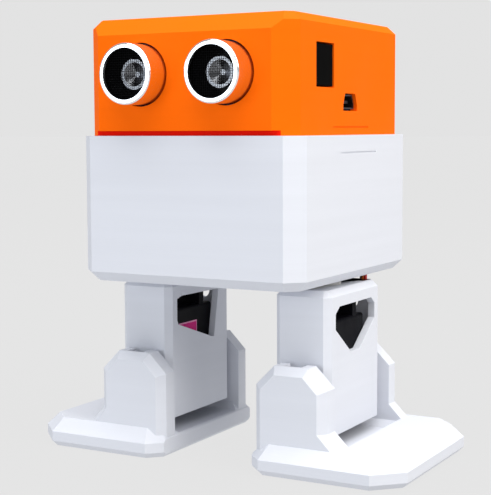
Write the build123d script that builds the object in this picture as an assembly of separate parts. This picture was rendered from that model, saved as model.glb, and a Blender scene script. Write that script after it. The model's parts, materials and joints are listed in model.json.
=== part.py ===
from build123d import *
import math
import os

os.makedirs("parts", exist_ok=True)

# A small two-legged walking robot, printed in plastic round hobby electronics.
# Millimetres. +Z up, the front looks along -Y, the robot's left side is +X.
# The origin is on the ground, under the middle of the whole robot's box.

# ---- driving dimensions ----------------------------------------------------------------
# housing
SEAM_Z = 90.0                  # plane where the head lid sits on the body
BODY_W, BODY_D, BODY_H = 68.0, 72.8, 39.6
HEAD_W, HEAD_D, HEAD_H = 63.4, 72.8, 31.2
BODY_WALL, HEAD_WALL = 2.2, 2.0
BODY_CORNER, BODY_BOTTOM_CHAMFER = 4.5, 2.6
HEAD_CORNER, HEAD_FRONT_CHAMFER, HEAD_TOP_CHAMFER = 5.4, 4.5, 2.2
PRY_SLOT_H, PRY_SLOT_D = 1.3, 1.6
LEDGE_W, LEDGE_H = 4.6, 3.5    # side ledge inside the body that carries the narrower head

# legs
HIP_X = 25.0                   # hip axis, left and right of the middle
LEG_W, LEG_D, LEG_H = 16.6, 34.2, 39.5
LEG_TOP_Z = 48.7
LEG_CORNER, LEG_TOP_CHAMFER = 1.8, 1.7
LEG_ROOF, TAB_STOP_T = 3.7, 2.5
LEAD_GROOVE_H = 2.15           # height of the ankle lead's groove over the roof's underside
ANKLE_Z = 22.9                 # ankle axis, along Y
PIVOT_R, PIVOT_LEN = 2.5, 3.6  # printed stub on the front of the leg
RUN_GAP = 0.1                  # radial clearance of a turning fit

# feet, measured outwards from the ankle axis
FOOT_IN, FOOT_OUT, FOOT_HALF_D = 11.6, 32.5, 28.8
SOLE_T, SOLE_TOP_CHAMFER, SOLE_BOTTOM_CHAMFER = 8.0, 3.6, 1.6
SOLE_CORNER_IN, SOLE_CORNER_OUT = 4.5, 7.5
EAR_HALF_W, EAR_FACE_Y, EAR_OUT_Y, EAR_TOP_Z = 10.6, 18.4, 25.1, 29.0
EAR_CORNER, EAR_BEVEL, EAR_GUSSET = 5.5, 2.2, 4.0
CHANNEL_Z, CHANNEL_TOP_Z = 5.4, 7.4
GROOVE_D = 4.0

# micro servo: length, width, and heights measured from the bottom of its case
SERVO_L, SERVO_W = 22.8, 12.2
SERVO_CASE_H, SERVO_LID_H, SERVO_BOSS_H, SERVO_SPLINE_H = 18.4, 4.1, 4.2, 3.3
SERVO_TAB_L, SERVO_TAB_T, SERVO_TAB_Z = 32.2, 2.5, 15.9
SERVO_SHAFT_END = 5.9          # from the end of the case to the output shaft
SERVO_BOSS_R, SERVO_SPLINE_R = 5.9, 2.3
SERVO_SCREW_SPACING = 27.8
HORN_R, HORN_H, HORN_ARM_T, HORN_ARM_L, HORN_TIP_R = 3.5, 5.5, 1.5, 13.4, 2.0
ANKLE_CASE_Y = -12.9           # bottom of the ankle servo's case
HIP_CASE_Z = 80.1              # bottom of the hip servo's case: the servo hangs shaft down

# ultrasonic range sensor, whose two transducers are the eyes
EYE_X, EYE_Z, EYE_R, EYE_LEN, EYE_OUT = 13.0, 106.1, 8.0, 12.0, 7.3
EYE_RIM = 1.25
SENSOR_BOARD = (45.0, 1.6, 20.0)

# electronics
SHIELD = (57.0, 52.0, 1.6)
SHIELD_Z = 82.8
CONTROLLER = (45.0, 18.0, 1.6)
CONTROLLER_X, CONTROLLER_Y, CONTROLLER_Z = 6.4, -0.7, 95.4
PITCH = 2.54
USB_W, USB_TOP_W, USB_H, USB_L = 7.7, 5.6, 3.9, 9.2
USB_HOLE_W, USB_HOLE_TOP_W, USB_HOLE_H = 9.0, 6.6, 4.7
USB_RECESS = 0.8
SWITCH_Y, SWITCH_Z, SWITCH_W, SWITCH_H = -16.4, 108.3, 10.8, 11.6
CELL_R, CELL_L, CELL_PITCH = 7.1, 50.0, 14.7
HOLDER_L, HOLDER_W, HOLDER_H = 58.0, 31.0, 26.8
LEAD_X, LEAD_Y = 4.4, 13.9     # where the ankle lead leaves the leg's roof, from the hip axis
LEAD_RADIUS = math.hypot(LEAD_X, LEAD_Y)
PLUG_XS = (-8.89, -3.81, 3.81, 8.89)   # the four servo plugs, on the header's columns
PLUG_Y = 21.8
SENSOR_PLUG, SENSOR_SOCKET_L = (-20.0, -16.0), 12.0
TERMINAL_XY = (-19.0, 10.5)
LEAD_R, WIRE_R = 1.15, 0.8

SIDES = {"left": 1, "right": -1}
FLOOR_Z = SEAM_Z - BODY_H
HEAD_TOP_Z = SEAM_Z + HEAD_H
FRONT_Y = -HEAD_D / 2
SHIELD_TOP = SHIELD_Z + SHIELD[2]
CONTROLLER_TOP = CONTROLLER_Z + CONTROLLER[2]
LEG_BOTTOM_Z = LEG_TOP_Z - LEG_H
MIDDLE_Y = (FRONT_Y - EYE_OUT + BODY_D / 2) / 2    # middle of the whole robot, front to back


# ---- helpers ---------------------------------------------------------------------------
def block(x, y, z):
    """A box from its low and high value along each axis."""
    size = (x[1] - x[0], y[1] - y[0], z[1] - z[0])
    return Pos((x[0] + x[1]) / 2, (y[0] + y[1]) / 2, (z[0] + z[1]) / 2) * Box(*size)


def rod(start, direction, radius, length):
    """A cylinder from a start point along a direction."""
    plane = Plane(origin=start, z_dir=direction)
    return extrude(plane * Circle(radius), length)


def prism_x(points, x):
    """An outline of (y, z) points run from x[0] to x[1]."""
    outline = Plane(origin=(x[0], 0, 0), x_dir=(0, 1, 0), z_dir=(1, 0, 0)) * Polygon(*points, align=None)
    return extrude(outline, x[1] - x[0], dir=(1, 0, 0))


def prism_y(points, y):
    """An outline of (x, z) points run from y[0] to y[1]."""
    outline = Plane(origin=(0, y[0], 0), x_dir=(1, 0, 0), z_dir=(0, -1, 0)) * Polygon(*points, align=None)
    return extrude(outline, y[1] - y[0], dir=(0, 1, 0))


def prism_z(points, z):
    """An outline of (x, y) points run from z[0] to z[1]."""
    return extrude(Pos(0, 0, z[0]) * Polygon(*points, align=None), z[1] - z[0], dir=(0, 0, 1))


def cut_corner_outline(x, y, low_x_cut, high_x_cut):
    """A rectangle whose corners are cut off at 45 degrees."""
    a, b = low_x_cut, high_x_cut
    return [(x[0] + a, y[0]), (x[1] - b, y[0]), (x[1], y[0] + b), (x[1], y[1] - b),
            (x[1] - b, y[1]), (x[0] + a, y[1]), (x[0], y[1] - a), (x[0], y[0] + a)]


def frustum(outline_low, outline_high, z):
    """A loft between two outlines, for the sloped rim of a plate."""
    low = Pos(0, 0, z[0]) * Polygon(*outline_low, align=None)
    high = Pos(0, 0, z[1]) * Polygon(*outline_high, align=None)
    return loft([low.face(), high.face()])


def mirror_side(shape, side):
    """Left parts are drawn; right parts are their mirror image."""
    return shape if SIDES[side] > 0 else mirror(shape, Plane.YZ)


def group(solids):
    """Separate solids that share a node."""
    return Compound(children=[s for shape in solids for s in shape.solids()])


def route(points, radius):
    """A round lead along straight runs joined by tangent arcs as large as the runs allow."""
    path_points = [Vector(*p) for p in points]
    radii = []
    for before, here, after in zip(path_points, path_points[1:], path_points[2:]):
        run_in, run_out = here - before, after - here
        turn = math.radians(run_in.get_angle(run_out))
        radii.append(0.45 * min(run_in.length, run_out.length) / math.tan(turn / 2))
    path = FilletPolyline(*path_points, radius=radii)
    start = Plane(origin=path @ 0, z_dir=path % 0)
    print("  lead radii", [round(r, 1) for r in radii], "length", round(path.length, 1))
    return sweep(start * Circle(radius), path=path)


def save(name, shape):
    """Parts are drawn with y = 0 at the hip axes; the origin is the middle of the whole robot."""
    solids = [Pos(0, -MIDDLE_Y, 0) * solid for solid in shape.solids()]
    shape = solids[0] if len(solids) == 1 else Compound(children=solids)
    shape.label = name
    export_step(shape, f"parts/{name}.step")


# ---- housing ---------------------------------------------------------------------------
def housing_outline(width, depth, corner):
    return cut_corner_outline((-width / 2, width / 2), (-depth / 2, depth / 2), corner, corner)


def head_shell():
    outer = prism_z(housing_outline(HEAD_W, HEAD_D, HEAD_CORNER), (SEAM_Z, HEAD_TOP_Z))
    top = outer.faces().sort_by(Axis.Z)[-1]
    front_edge = top.edges().sort_by(Axis.Y)[0]
    outer = chamfer([e for e in top.edges() if e != front_edge], HEAD_TOP_CHAMFER)
    slope = prism_x([(FRONT_Y - 1, HEAD_TOP_Z + 1), (FRONT_Y - 1, HEAD_TOP_Z - HEAD_FRONT_CHAMFER - 1),
                     (FRONT_Y + HEAD_FRONT_CHAMFER + 1, HEAD_TOP_Z + 1)], (-HEAD_W, HEAD_W))
    outer -= slope
    w = HEAD_WALL
    inside = housing_outline(HEAD_W - 2 * w, HEAD_D - 2 * w, HEAD_CORNER - 0.6 * w)
    shell = outer - (prism_z(inside, (SEAM_Z - 1, HEAD_TOP_Z - w)) - slope_inside(w))
    shell -= eye_holes()
    shell -= block((-HEAD_W, HEAD_W), (FRONT_Y - 1, FRONT_Y + PRY_SLOT_D), (SEAM_Z - 1, SEAM_Z + PRY_SLOT_H))
    shell += snap_tabs() + board_posts() + sensor_clips() + switch_collar()
    shell -= catch_marks(HEAD_W / 2, SEAM_Z + 1.9)
    return shell - switch_opening(HEAD_WALL + 9) - usb_opening() - post_bores()


def slope_inside(w):
    """What stays solid under the front chamfer, so that its wall keeps its thickness."""
    y = FRONT_Y + w
    drop = HEAD_FRONT_CHAMFER - 0.6 * w
    z = HEAD_TOP_Z - w
    return prism_x([(y - 1, z + 1), (y - 1, z - drop - 1), (y + drop + 1, z + 1)], (-HEAD_W, HEAD_W))


def eye_holes():
    holes = [rod((s * EYE_X, FRONT_Y - 1, EYE_Z), (0, 1, 0), EYE_R + 0.4, HEAD_WALL + 2) for s in (1, -1)]
    return holes[0] + holes[1]


def switch_opening(depth):
    y, z, x = SWITCH_W / 2, SWITCH_H / 2, HEAD_W / 2
    return block((x - depth, x + 1), (SWITCH_Y - y, SWITCH_Y + y), (SWITCH_Z - z, SWITCH_Z + z))


def switch_collar():
    """A square sleeve inside the left wall that grips the power switch."""
    y, z, x = SWITCH_W / 2 + 1.4, SWITCH_H / 2 + 1.4, HEAD_W / 2 - HEAD_WALL
    return block((x - 7, x + 0.1), (SWITCH_Y - y, SWITCH_Y + y), (SWITCH_Z - z, SWITCH_Z + z))


def usb_opening():
    """The port's opening is wider at the bottom, as the plug's shell is."""
    low, high, z = USB_HOLE_W / 2, USB_HOLE_TOP_W / 2, CONTROLLER_TOP - 0.5
    outline = [(CONTROLLER_Y - low, z), (CONTROLLER_Y + low, z),
               (CONTROLLER_Y + low, z + 1.6), (CONTROLLER_Y + high, z + USB_HOLE_H),
               (CONTROLLER_Y - high, z + USB_HOLE_H), (CONTROLLER_Y - low, z + 1.6)]
    return prism_x(outline, (HEAD_W / 2 - HEAD_WALL - 1, HEAD_W / 2 + 1))


def snap_tabs():
    """Two tongues that drop inside the body's side ledges, each with a catch."""
    x = BODY_W / 2 - LEDGE_W - 0.2
    outline = [(x, SEAM_Z + 3), (x, SEAM_Z - 4), (x + 0.5, SEAM_Z - 4.6), (x + 0.1, SEAM_Z - 5.4),
               (x - 1.5, SEAM_Z - 5.4), (x - 1.5, SEAM_Z + 3)]
    web = [(x - 1.5, SEAM_Z + 0.2), (x - 1.5, SEAM_Z + 3), (HEAD_W / 2 - 1, SEAM_Z + 3),
           (HEAD_W / 2 - 1, SEAM_Z + 0.2)]
    tab = prism_y(outline, (-12, 12)) + prism_y(web, (-12, 12))
    return tab + mirror(tab, Plane.YZ)


def catch_marks(x, z):
    """A fine line on each side wall where the catch behind it ends."""
    mark = block((x - 0.25, x + 1), (-11.5, 11.5), (z, z + 0.4))
    return mark + mirror(mark, Plane.YZ)


def post_places():
    return [(sx * (SHIELD[0] / 2 - 3), sy * (SHIELD[1] / 2 - 3)) for sx in (1, -1) for sy in (1, -1)]


def board_posts():
    """Four posts hang from the lid and carry the expansion board by its corners."""
    posts = [rod((x, y, SHIELD_TOP), (0, 0, 1), 2.6, HEAD_TOP_Z - HEAD_WALL - SHIELD_TOP + 0.1)
             for x, y in post_places()]
    return posts[0] + posts[1] + posts[2] + posts[3]


def post_bores():
    bores = [rod((x, y, SHIELD_TOP - 1), (0, 0, 1), 1.2, 9) for x, y in post_places()]
    return bores[0] + bores[1] + bores[2] + bores[3]


def sensor_clips():
    """Grooved ribs on the front wall that hold the ends of the sensor board."""
    board_y = FRONT_Y - EYE_OUT + EYE_LEN
    y = (FRONT_Y + HEAD_WALL - 0.1, board_y + SENSOR_BOARD[1] + 1.6)
    x = SENSOR_BOARD[0] / 2
    z = EYE_Z - SENSOR_BOARD[2] / 2
    rib = block((x - 1.2, x + 1.6), y, (z, z + SENSOR_BOARD[2]))
    slot = block((x - 2, x + 0.15), (board_y, board_y + SENSOR_BOARD[1]), (z - 1, z + SENSOR_BOARD[2] + 1))
    rib -= slot
    return rib + mirror(rib, Plane.YZ)


def body_shell():
    outer = prism_z(housing_outline(BODY_W, BODY_D, BODY_CORNER), (FLOOR_Z, SEAM_Z))
    outer = chamfer(outer.faces().sort_by(Axis.Z)[0].edges(), BODY_BOTTOM_CHAMFER)
    w = BODY_WALL
    inside = housing_outline(BODY_W - 2 * w, BODY_D - 2 * w, BODY_CORNER - 0.6 * w)
    low = housing_outline(BODY_W - 2 * w - 3, BODY_D - 2 * w - 3, BODY_CORNER - 0.6 * w)
    floor = FLOOR_Z + BODY_WALL + 0.2
    shell = outer - prism_z(inside, (floor + 1.5, SEAM_Z + 1)) - frustum(low, inside, (floor, floor + 1.5))
    ledge = side_ledge()
    shell += ledge + mirror(ledge, Plane.YZ)
    for side in SIDES:
        shell += mirror_side(hip_posts(), side)
        shell -= mirror_side(hip_openings(), side)
    return shell + holder_ribs() - catch_marks(BODY_W / 2, SEAM_Z - 4.9)


def side_ledge():
    x, z = BODY_W / 2, SEAM_Z
    outline = [(x - BODY_WALL + 0.1, z), (x - LEDGE_W, z), (x - LEDGE_W, z - LEDGE_H),
               (x - BODY_WALL + 0.1, z - LEDGE_H - LEDGE_W + BODY_WALL)]
    return prism_y(outline, (-BODY_D / 2 + 3, BODY_D / 2 - 3))


def hip_posts():
    """Two blocks that the hip servo's tabs rest on."""
    tab_z = HIP_CASE_Z - SERVO_TAB_Z - SERVO_TAB_T
    middle = servo_middle()
    posts = None
    for sign in (-1, 1):
        y = middle + sign * (SERVO_L / 2 + 2.6)
        post = block((HIP_X - 3.5, HIP_X + 3.5), (y - 2.4, y + 2.4), (FLOOR_Z + 1, tab_z))
        posts = post if posts is None else posts + post
    return posts


def hip_openings():
    """The hub's hole, the pilot holes of the tab screws and the curved slot of the ankle lead."""
    middle = servo_middle()
    cuts = rod((HIP_X, 0, FLOOR_Z - 1), (0, 0, 1), HORN_R + 0.8, BODY_WALL + 3)
    for sign in (-1, 1):
        y = middle + sign * SERVO_SCREW_SPACING / 2
        cuts += rod((HIP_X, y, HIP_CASE_Z - SERVO_TAB_Z - SERVO_TAB_T - 7), (0, 0, 1), 1.0, 8)
    ring = rod((HIP_X, 0, FLOOR_Z - 1), (0, 0, 1), LEAD_RADIUS + 2.2, BODY_WALL + 3)
    ring -= rod((HIP_X, 0, FLOOR_Z - 2), (0, 0, 1), LEAD_RADIUS - 2.2, BODY_WALL + 5)
    flat = BODY_W / 2 - BODY_BOTTOM_CHAMFER
    return cuts + (ring & block((HIP_X - 5, flat - 0.2), (8, 25), (FLOOR_Z - 2, FLOOR_Z + 6)))


def holder_ribs():
    """Low ribs on the floor round the battery holder."""
    z = (FLOOR_Z + BODY_WALL, FLOOR_Z + 8)
    x, y = HOLDER_W / 2 + 0.2, HOLDER_L / 2 + 0.2
    ribs = [block((sx * x, sx * (x + 1.2)) if sx > 0 else (-x - 1.2, -x), (sy - 6, sy + 6), z)
            for sx in (1, -1) for sy in (-20, 4)]
    ribs += [block((-6, 6), (y, y + 1.2), z), block((-6, 6), (-y - 1.2, -y), z)]
    return ribs[0] + ribs[1] + ribs[2] + ribs[3] + ribs[4] + ribs[5]


# ---- servo, drawn upright at the origin: case bottom on z = 0, shaft axis on x = y = 0 --
def servo_middle():
    """From the shaft to the middle of the case, along the case."""
    return SERVO_L / 2 - SERVO_SHAFT_END


def servo_case():
    m, w = servo_middle(), SERVO_W / 2
    case = block((m - SERVO_L / 2, m + SERVO_L / 2), (-w, w), (0, SERVO_CASE_H))
    case = fillet(case.edges().filter_by(Axis.Z), 0.8)
    tabs = block((m - SERVO_TAB_L / 2, m + SERVO_TAB_L / 2), (-w + 0.2, w - 0.2),
                 (SERVO_TAB_Z, SERVO_TAB_Z + SERVO_TAB_T))
    tabs = fillet(tabs.edges().filter_by(Axis.Z), 0.8)
    for sign in (-1, 1):
        x = m + sign * SERVO_SCREW_SPACING / 2
        tabs -= rod((x, 0, SERVO_TAB_Z - 1), (0, 0, 1), 1.1, SERVO_TAB_T + 2)
    return case + tabs


def servo_gearbox():
    """The lid over the gears, with the round boss that the shaft turns in."""
    m, w = servo_middle(), SERVO_W / 2
    z = SERVO_CASE_H
    lid = block((m - SERVO_L / 2, m + SERVO_L / 2), (-w, w), (z, z + SERVO_LID_H))
    lid = fillet(lid.edges().filter_by(Axis.Z), 0.8)
    z += SERVO_LID_H
    boss = rod((0, 0, z - 0.01), (0, 0, 1), SERVO_BOSS_R, SERVO_BOSS_H + 0.01)
    bump = rod((SERVO_BOSS_R + 1.2, 0, z - 0.01), (0, 0, 1), 2.8, SERVO_BOSS_H + 0.01)
    bore = rod((0, 0, z + SERVO_BOSS_H - 3.1), (0, 0, 1), SERVO_SPLINE_R + RUN_GAP / 2, 4)
    return lid + boss + bump - bore


def servo_shaft():
    """The splined output shaft, hollow for the horn screw."""
    top = SERVO_CASE_H + SERVO_LID_H + SERVO_BOSS_H + SERVO_SPLINE_H
    shaft = rod((0, 0, top - SERVO_SPLINE_H - 2.8), (0, 0, 1), SERVO_SPLINE_R, SERVO_SPLINE_H + 2.8)
    teeth = 21
    for i in range(teeth):
        angle = 2 * math.pi * i / teeth
        x, y = (SERVO_SPLINE_R + 0.12) * math.cos(angle), (SERVO_SPLINE_R + 0.12) * math.sin(angle)
        shaft -= rod((x, y, top - SERVO_SPLINE_H + 0.5), (0, 0, 1), 0.22, SERVO_SPLINE_H)
    return shaft - rod((0, 0, top - 5), (0, 0, 1), 0.9, 6)


def servo_horn():
    """A single-arm horn: the hub sits over the spline, the arm is flush with the hub's end."""
    end = horn_end()
    hub = rod((0, 0, end - HORN_H), (0, 0, 1), HORN_R, HORN_H)
    arm = prism_z([(0, -HORN_R * 0.8), (HORN_ARM_L - HORN_TIP_R, -HORN_TIP_R),
                   (HORN_ARM_L - HORN_TIP_R, HORN_TIP_R), (0, HORN_R * 0.8)], (end - HORN_ARM_T, end))
    arm += rod((HORN_ARM_L - HORN_TIP_R, 0, end - HORN_ARM_T), (0, 0, 1), HORN_TIP_R, HORN_ARM_T)
    for i in range(4):
        arm -= rod((5.2 + 2 * i, 0, end - HORN_ARM_T - 1), (0, 0, 1), 0.5, HORN_ARM_T + 2)
    top = SERVO_CASE_H + SERVO_LID_H + SERVO_BOSS_H + SERVO_SPLINE_H
    socket = rod((0, 0, end - HORN_H - 1), (0, 0, 1), SERVO_SPLINE_R, top + 0.1 - end + HORN_H + 1)
    return hub + arm - socket - rod((0, 0, 0), (0, 0, 1), 1.2, 60)


def horn_end():
    """Height of the horn's outer face above the case bottom."""
    return EAR_FACE_Y + HORN_ARM_T - ANKLE_CASE_Y


def horn_screw():
    end = horn_end()
    head = rod((0, 0, end), (0, 0, 1), 2.3, 1.6)
    head -= block((-1.4, 1.4), (-0.3, 0.3), (end + 0.9, end + 2)) + block((-0.3, 0.3), (-1.4, 1.4),
                                                                         (end + 0.9, end + 2))
    return head + rod((0, 0, end - 6.5), (0, 0, 1), 0.9, 6.51)


def tab_screw(x, from_below=False):
    """A self-tapping screw through one tab, its head on the shaft's side or on the case's side."""
    head = rod((0, 0, 0), (0, 0, 1), 2.0, 1.5)
    head -= block((-1.2, 1.2), (-0.3, 0.3), (0.8, 2)) + block((-0.3, 0.3), (-1.2, 1.2), (0.8, 2))
    screw = head + rod((0, 0, -SERVO_TAB_T - 5.5), (0, 0, 1), 1.0, SERVO_TAB_T + 5.51)
    if from_below:
        return Pos(x, 0, SERVO_TAB_Z) * Rot(180, 0, 0) * screw
    return Pos(x, 0, SERVO_TAB_Z + SERVO_TAB_T) * screw


def to_ankle(shape, side):
    """Servo frame to the ankle: shaft to the rear, case standing up from the shaft."""
    place = Plane(origin=(HIP_X, ANKLE_CASE_Y, ANKLE_Z), x_dir=(0, 0, 1), z_dir=(0, 1, 0))
    return mirror_side(place * shape, side)


def to_hip(shape, side):
    """Servo frame to the hip: shaft down, case running back from the shaft."""
    place = Plane(origin=(HIP_X, 0, HIP_CASE_Z), x_dir=(0, 1, 0), z_dir=(0, 0, -1))
    return mirror_side(place * shape, side)


def turned_horn(shape):
    """The horn's arm points away from the case."""
    return Rot(0, 0, 180) * shape


def servo_label():
    """The sticker on the ankle servo's inner side, below the tabs."""
    m, y = servo_middle(), -SERVO_W / 2
    return block((m - 9.4, m + 7.0), (y - 0.06, y), (4.2, 14.1))


# ---- legs ------------------------------------------------------------------------------
def leg_outer_window():
    """The shield-shaped opening in the outer side, as (y, z) points."""
    top, shoulder, waist, foot = 44.1, 42.3, 38.1, 30.7
    return [(-10.4, top), (10.6, top), (13.0, shoulder), (13.0, waist), (2.6, foot), (-3.0, foot),
            (-13.0, waist), (-13.0, shoulder)]


def leg_inner_window():
    """The lopsided opening in the inner side, as (y, z) points."""
    return [(-13.0, 43.3), (-10.4, 44.0), (10.4, 43.8), (7.7, 29.6), (6.2, 29.8), (-12.4, 35.9),
            (-13.0, 37.2)]


def leg_shell():
    """Drawn for the left side at the hip axis."""
    x, y = HIP_X, LEG_D / 2
    outline = cut_corner_outline((x - LEG_W / 2, x + LEG_W / 2), (-y, y), LEG_CORNER, LEG_CORNER)
    leg = prism_z(outline, (LEG_BOTTOM_Z, LEG_TOP_Z))
    leg = chamfer(leg.faces().sort_by(Axis.Z)[-1].edges(), LEG_TOP_CHAMFER)
    half = SERVO_W / 2 + 0.1
    roof = LEG_TOP_Z - LEG_ROOF
    leg -= block((x - half, x + half), (ANKLE_CASE_Y - 0.1, y - 1.9), (LEG_BOTTOM_Z - 1, roof))
    tab_y = ANKLE_CASE_Y + SERVO_TAB_Z + SERVO_TAB_T
    leg += block((x - 2.8, x + 2.8), (tab_y + 0.05, tab_y + TAB_STOP_T), (roof - 5.1, roof + 0.1))
    leg -= prism_x(leg_outer_window(), (x + half - 0.5, x + LEG_W))
    leg -= prism_x(leg_inner_window(), (x - LEG_W, x - half + 0.5))
    leg -= shaft_slot() + leg_roof_cuts() + tab_screw_access()
    leg += rod((x, -y + 0.5, ANKLE_Z), (0, -1, 0), PIVOT_R, PIVOT_LEN + 0.5)
    return leg


def shaft_slot():
    """A slot up from the bottom of the rear wall lets the servo's hub slide in."""
    x, r, y = HIP_X, HORN_R + 0.8, (LEG_D / 2 - 3, LEG_D / 2 + 1)
    return (block((x - r, x + r), y, (LEG_BOTTOM_Z - 1, ANKLE_Z))
            + rod((x, y[0], ANKLE_Z), (0, 1, 0), r, y[1] - y[0]))


def leg_roof_cuts():
    """The horn's pocket, the screw's hole, the lead's way over the tab and its way out."""
    x, top, roof = HIP_X, LEG_TOP_Z, LEG_TOP_Z - LEG_ROOF
    pocket = to_hip(turned_horn(horn_blank()), "left")
    screw = rod((x, 0, roof - 1), (0, 0, 1), 2.8, LEG_ROOF)
    half = SERVO_W / 2 + 0.1
    groove = block((x + 3.55, x + half), (-8.8, LEG_D / 2 - 1.9), (roof - 1, roof + LEAD_GROOVE_H))
    groove += block((x + 2.9, x + half), (-8.8, -2.2), (roof - 1, roof + LEAD_GROOVE_H))
    groove += block((x + 1.0, x + half), (-11.0, -4.0), (roof - 1, roof + 1.1))
    window = block((x - 5.9, x + 5.9), (10.6, LEG_D / 2 - 1.9), (roof - 1, top + 1))
    return pocket + screw + groove + window


def horn_blank():
    """The horn's outline with 0.05 mm to spare, for its pockets."""
    end, gap = horn_end(), 0.05
    r, tip = HORN_R + gap, HORN_TIP_R + gap
    z = (end - HORN_ARM_T, end + gap)
    arm = prism_z([(0, -HORN_R * 0.8 - gap), (HORN_ARM_L - HORN_TIP_R, -tip),
                   (HORN_ARM_L - HORN_TIP_R, tip), (0, HORN_R * 0.8 + gap)], z)
    arm += rod((HORN_ARM_L - HORN_TIP_R, 0, z[0]), (0, 0, 1), tip, z[1] - z[0])
    return arm + rod((0, 0, z[0] - 3), (0, 0, 1), r, z[1] - z[0] + 3)


def tab_screw_access():
    """A screwdriver hole in the rear wall, and the screw's hole in the stop behind the tab."""
    z = ANKLE_Z + servo_middle() + SERVO_SCREW_SPACING / 2
    hole = rod((HIP_X, LEG_D / 2 - 3, z), (0, 1, 0), 2.2, 5)
    return hole + rod((HIP_X, ANKLE_CASE_Y + SERVO_TAB_Z, z), (0, 1, 0), 1.05, 8)


# ---- feet ------------------------------------------------------------------------------
def sole_outline(inset):
    x = (HIP_X - FOOT_IN + inset, HIP_X + FOOT_OUT - inset)
    y = (-FOOT_HALF_D + inset, FOOT_HALF_D - inset)
    trim = inset * (2 - math.sqrt(2))
    return cut_corner_outline(x, y, SOLE_CORNER_IN - trim, SOLE_CORNER_OUT - trim)


def foot_shell():
    """Drawn for the left side round the ankle axis."""
    low, high = SOLE_BOTTOM_CHAMFER, SOLE_T - SOLE_TOP_CHAMFER
    sole = prism_z(sole_outline(0), (low, high))
    sole += frustum(sole_outline(SOLE_BOTTOM_CHAMFER), sole_outline(0), (0, low))
    sole += frustum(sole_outline(0), sole_outline(SOLE_TOP_CHAMFER), (high, SOLE_T))
    flat_inner = block((HIP_X - FOOT_IN - 5, HIP_X - EAR_HALF_W - 0.4), (-40, 40), (-5, 50))
    ears = ear() + mirror(ear(), Plane.XZ)
    foot = (sole + ears - flat_inner) - channel()
    foot -= pivot_groove()
    foot -= to_ankle(turned_horn(horn_blank()), "left")
    return foot - rod((HIP_X, EAR_FACE_Y, ANKLE_Z), (0, 1, 0), 3.0, 10)


def ear():
    """The front upright with its bevelled face, cut corners and outer gusset."""
    a, b, c, g = EAR_HALF_W, EAR_TOP_Z, EAR_CORNER, EAR_GUSSET
    x = HIP_X
    base = SOLE_T - SOLE_TOP_CHAMFER

    def outline(d):
        t = d * (2 - math.sqrt(2))
        return [(x - a + d, base), (x + a + g - d, base), (x + a + g - d, SOLE_T), (x + a - d, SOLE_T + g),
                (x + a - d, b - c - d + t), (x + a - c - d + t, b - d), (x - a + c + d - t, b - d),
                (x - a + d, b - c - d + t)]

    straight = prism_y(outline(0), (-EAR_OUT_Y + EAR_BEVEL, -EAR_FACE_Y))
    plane = Plane(origin=(0, -EAR_OUT_Y + EAR_BEVEL, 0), x_dir=(1, 0, 0), z_dir=(0, -1, 0))
    back = plane * Polygon(*outline(0), align=None)
    front = plane.offset(EAR_BEVEL) * Polygon(*outline(EAR_BEVEL), align=None)
    return straight + loft([back.face(), front.face()])


def channel():
    """The cross channel under the leg, open at the inner end, that clears the leg's corners."""
    x0, x1 = HIP_X - FOOT_IN - 5, HIP_X + EAR_HALF_W + EAR_GUSSET - 0.6
    y, z, top = EAR_FACE_Y, CHANNEL_Z, SOLE_T + 2
    d = CHANNEL_TOP_Z - CHANNEL_Z
    cut = prism_x([(-y, top), (-y, CHANNEL_TOP_Z), (-y + d, z), (y - d, z), (y, CHANNEL_TOP_Z), (y, top)],
                  (x0, x1 + 2))
    slope = prism_y([(x1, top), (x1, SOLE_T), (x1 - (SOLE_T - z), z - 0.01), (x1 + 5, z - 0.01),
                     (x1 + 5, top)], (-y - 1, y + 1))
    return cut - slope


def pivot_groove():
    """The stub on the leg drops into this groove, which is open at the top."""
    r = PIVOT_R + RUN_GAP
    y = (-EAR_FACE_Y - GROOVE_D, -EAR_FACE_Y + 0.01)
    return (block((HIP_X - r, HIP_X + r), y, (ANKLE_Z, EAR_TOP_Z + 1))
            + rod((HIP_X, y[0], ANKLE_Z), (0, 1, 0), r, y[1] - y[0]))


# ---- eyes and range sensor -------------------------------------------------------------
def eye_front():
    return FRONT_Y - EYE_OUT


def eye_can(side):
    """A drawn aluminium can, open at the front, with a rolled rim."""
    start = (EYE_X, eye_front(), EYE_Z)
    can = rod(start, (0, 1, 0), EYE_R, EYE_LEN)
    can = fillet(can.edges().sort_by(Axis.Y)[0], 0.5)
    can -= rod((EYE_X, eye_front() - 1, EYE_Z), (0, 1, 0), EYE_R - EYE_RIM, 1 + 1.2)
    can -= rod((EYE_X, eye_front() + 1.1, EYE_Z), (0, 1, 0), EYE_R - 0.6, EYE_LEN - 1.1)
    return mirror_side(can, side)


def eye_meshes():
    """Fine wire gauze discs behind the rims."""
    y = eye_front() + 1.15
    return group([rod((s * EYE_X, y, EYE_Z), (0, 1, 0), EYE_R - 0.65, 0.35) for s in (1, -1)])


def eye_transducers():
    """Each piezo disc sits on a plug and carries a small cone."""
    shapes = []
    for s in (1, -1):
        back = eye_front() + EYE_LEN - 0.95
        plug = rod((s * EYE_X, back, EYE_Z), (0, -1, 0), EYE_R - 0.65, 3.4)
        disc = rod((s * EYE_X, back - 3.4, EYE_Z), (0, -1, 0), 4.2, 0.8)
        cone = Pos(s * EYE_X, back - 4.2 - 1.1, EYE_Z) * Rot(90, 0, 0) * Cone(1.2, 4.0, 2.2)
        cup = Pos(s * EYE_X, back - 4.2 - 1.5, EYE_Z) * Rot(90, 0, 0) * Cone(0.7, 3.6, 2.0)
        shapes.append(plug + disc + (cone - cup))
    return group(shapes)


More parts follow.
